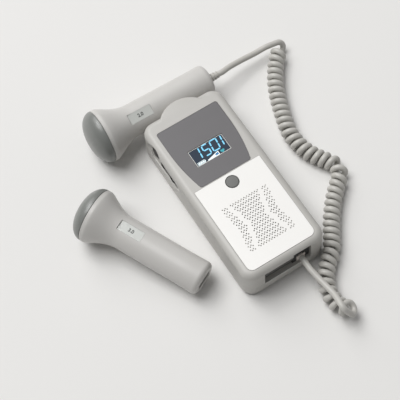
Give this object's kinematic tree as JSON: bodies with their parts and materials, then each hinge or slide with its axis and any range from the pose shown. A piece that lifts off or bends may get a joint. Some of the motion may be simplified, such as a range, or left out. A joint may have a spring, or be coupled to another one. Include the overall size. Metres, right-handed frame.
{
  "type": "fetal doppler monitor",
  "caption": "Flat handheld doppler unit with a speaker grille and a display, a flared probe in the arched cradle at its top on a curly cord, and a spare probe beside it.",
  "frame": {"origin": "centre of the unit's flat back, on the surface that it lies on", "axes": "+X to the unit's right as its display is read, +Y towards the probe's cradle, +Z out of the display"},
  "size_m": [0.2325, 0.2499, 0.0443],
  "materials": {
    "casing": "satin",
    "plate": "semi-gloss",
    "panel": "satin",
    "display": "gloss",
    "diffuser": "satin",
    "holder": "matte",
    "board": "satin",
    "dark_parts": "matte",
    "button": "matte",
    "black_parts": "satin",
    "plated_steel": "satin",
    "cell_wrap": "gloss",
    "clear_plug": "gloss",
    "cord": "satin",
    "transducer_face": "semi-gloss",
    "ceramic": "satin",
    "label_window": "gloss"
  },
  "bodies": {
    "unit": {"front_shell": "casing", "back_shell": "casing", "display_panel": "panel", "speaker_plate": "plate", "lcd_glass": "display", "lcd_holder": "holder", "lcd_backlight": "diffuser", "main_board": "board", "speaker_driver": "dark_parts", "button_switch": "black_parts", "volume_pot": "plated_steel", "headphone_jack": "black_parts", "charger_jack": "black_parts", "probe_jack": "black_parts", "battery_cells": "cell_wrap", "battery_contacts": "plated_steel", "case_screws": "plated_steel", "plug_unit": "clear_plug", "lead_unit": "cord", "cord_coil": "cord"},
    "button": {"power_button": "button"},
    "wheel": {"volume_wheel": "dark_parts"},
    "door": {"battery_door": "casing"},
    "probe": {"probe_housing": "casing", "probe_face": "transducer_face", "probe_crystals": "ceramic", "probe_backing": "dark_parts", "probe_board": "board", "probe_socket": "black_parts", "probe_label": "label_window", "plug_probe": "clear_plug", "lead_probe": "cord"},
    "spare_probe": {"spare_housing": "casing", "spare_face": "transducer_face", "spare_crystals": "ceramic", "spare_backing": "dark_parts", "spare_board": "board", "spare_socket": "black_parts", "spare_label": "label_window"}
  },
  "joints": [
    {"name": "button_press", "type": "slide", "parent": "unit", "child": "button", "axis": [0, 0, -1], "range_m": [0, 0.0007], "stiffness_N_per_m": 400},
    {"name": "volume_turn", "type": "hinge", "parent": "unit", "child": "wheel", "pos_m": [-0.026, 0.0555, 0.0243], "axis": [0, 0, 1], "range_deg": [-140, 140]},
    {"name": "door_slide", "type": "slide", "parent": "unit", "child": "door", "axis": [0, -1, 0], "range_m": [0, 0.008]},
    {"name": "probe_pull", "type": "slide", "parent": "unit", "child": "probe", "axis": [0, 1, 0], "range_m": [0, 0.03], "deforming": ["lead_probe"]},
    {"name": "spare_lift", "type": "slide", "parent": "unit", "child": "spare_probe", "axis": [0, 0, 1], "range_m": [0, 0.05]}
  ]
}
